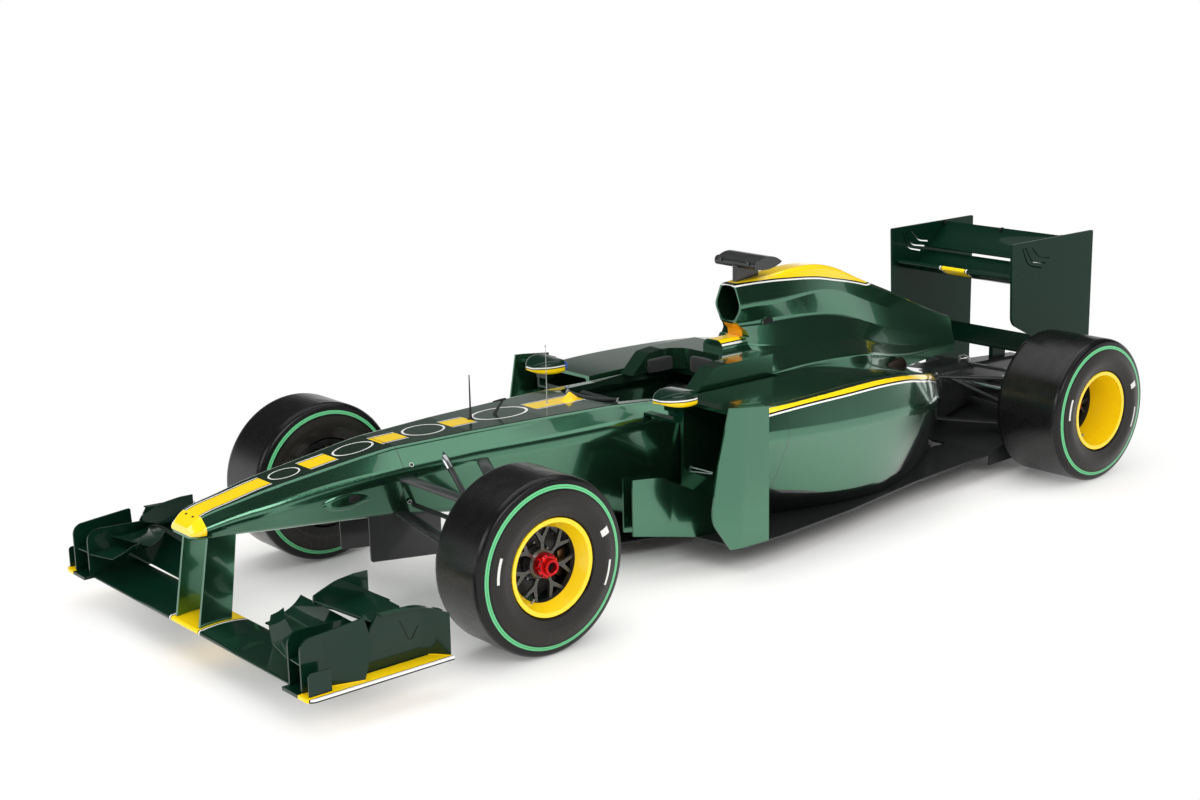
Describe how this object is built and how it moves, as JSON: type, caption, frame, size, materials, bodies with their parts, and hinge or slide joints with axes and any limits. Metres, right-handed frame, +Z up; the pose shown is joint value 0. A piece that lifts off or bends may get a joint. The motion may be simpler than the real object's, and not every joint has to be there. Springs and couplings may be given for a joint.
{
  "type": "open wheel racing car",
  "caption": "Single-seat racing car with exposed wheels, front and rear wings, a raised nose and an open cockpit.",
  "frame": {"origin": "on the ground under the middle of the car", "axes": "+X forward to the nose, +Y to the car's left, +Z up"},
  "size_m": [4.832, 1.8, 1.1253],
  "materials": {
    "carbon": "carbon fibre laminate",
    "engine_grey": "cast, dark",
    "lamp_red": "lamp lens",
    "metal": "machined",
    "mirror_paint": "yellow and green enamel",
    "nut_red": "red anodised",
    "paint_green": "deep racing green, clear coated",
    "plank_wood": "resin laminate",
    "rim_yellow": "yellow enamel on cast rim",
    "steel": "ground",
    "tyre": "slick rubber"
  },
  "bodies": {
    "chassis": {"bargeboards_left": "paint_green", "bargeboards_right": "paint_green", "beam_wing": "paint_green", "camera_pod": "carbon", "engine_block": "engine_grey", "engine_cover": "paint_green", "floor": "carbon", "front_suspension_left": "carbon", "front_suspension_right": "carbon", "front_wing_endplate_left": "paint_green", "front_wing_endplate_right": "paint_green", "front_wing_flaps_left": "paint_green", "front_wing_flaps_right": "paint_green", "front_wing_main": "paint_green", "gearbox_case": "carbon", "head_surround": "paint_green", "mirror_left": "mirror_paint", "mirror_right": "mirror_paint", "monocoque": "paint_green", "nose_cone": "paint_green", "plank": "plank_wood", "rain_light": "lamp_red", "rear_suspension_left": "carbon", "rear_suspension_right": "carbon", "rear_wing": "paint_green", "rear_wing_endplate_left": "paint_green", "rear_wing_endplate_right": "paint_green", "seat": "carbon", "sidepod_left": "paint_green", "sidepod_right": "paint_green", "under_nose_vanes": "carbon"},
    "knuckle_left": {"front_upright_left": "metal"},
    "knuckle_right": {"front_upright_right": "metal"},
    "rack": {"steering_rack": "carbon"},
    "helm": {"steering_wheel": "carbon"},
    "wheel_front_left": {"tyre_front_left": "tyre", "rim_front_left": "rim_yellow", "wheel_nut_front_left": "nut_red"},
    "wheel_front_right": {"tyre_front_right": "tyre", "rim_front_right": "rim_yellow", "wheel_nut_front_right": "nut_red"},
    "wheel_rear_left": {"tyre_rear_left": "tyre", "rim_rear_left": "rim_yellow", "driveshaft_left": "steel"},
    "wheel_rear_right": {"tyre_rear_right": "tyre", "rim_rear_right": "rim_yellow", "driveshaft_right": "steel"}
  },
  "joints": [
    {"name": "steer_left", "type": "hinge", "parent": "chassis", "child": "knuckle_left", "pos_m": [1.39, 0.64, 0.33], "axis": [0, 0, 1], "range_deg": [-15, 15]},
    {"name": "steer_right", "type": "hinge", "parent": "chassis", "child": "knuckle_right", "pos_m": [1.39, -0.64, 0.33], "axis": [0, 0, 1], "range_deg": [-15, 15]},
    {"name": "rack_slide", "type": "slide", "parent": "chassis", "child": "rack", "axis": [0, 1, 0], "range_m": [-0.0208, 0.0208]},
    {"name": "steering_wheel_turn", "type": "hinge", "parent": "chassis", "child": "helm", "pos_m": [0.43, 0, 0.56], "axis": [-0.9848, 0, 0.1736], "range_deg": [-150.5, 150.5]},
    {"name": "spin_front_left", "type": "hinge", "parent": "knuckle_left", "child": "wheel_front_left", "pos_m": [1.39, 0.735, 0.33], "axis": [0, 1, 0], "continuous": true},
    {"name": "spin_front_right", "type": "hinge", "parent": "knuckle_right", "child": "wheel_front_right", "pos_m": [1.39, -0.735, 0.33], "axis": [0, 1, 0], "continuous": true},
    {"name": "spin_rear_left", "type": "hinge", "parent": "chassis", "child": "wheel_rear_left", "pos_m": [-1.81, 0.7125, 0.33], "axis": [0, 1, 0], "continuous": true},
    {"name": "spin_rear_right", "type": "hinge", "parent": "chassis", "child": "wheel_rear_right", "pos_m": [-1.81, -0.7125, 0.33], "axis": [0, 1, 0], "continuous": true}
  ],
  "couplings": [
    {"joint": "steer_right", "follows": "steer_left", "ratio": 1},
    {"joint": "rack_slide", "follows": "steer_left", "m_per_rad": 0.079},
    {"joint": "steering_wheel_turn", "follows": "steer_left", "ratio": 10}
  ]
}
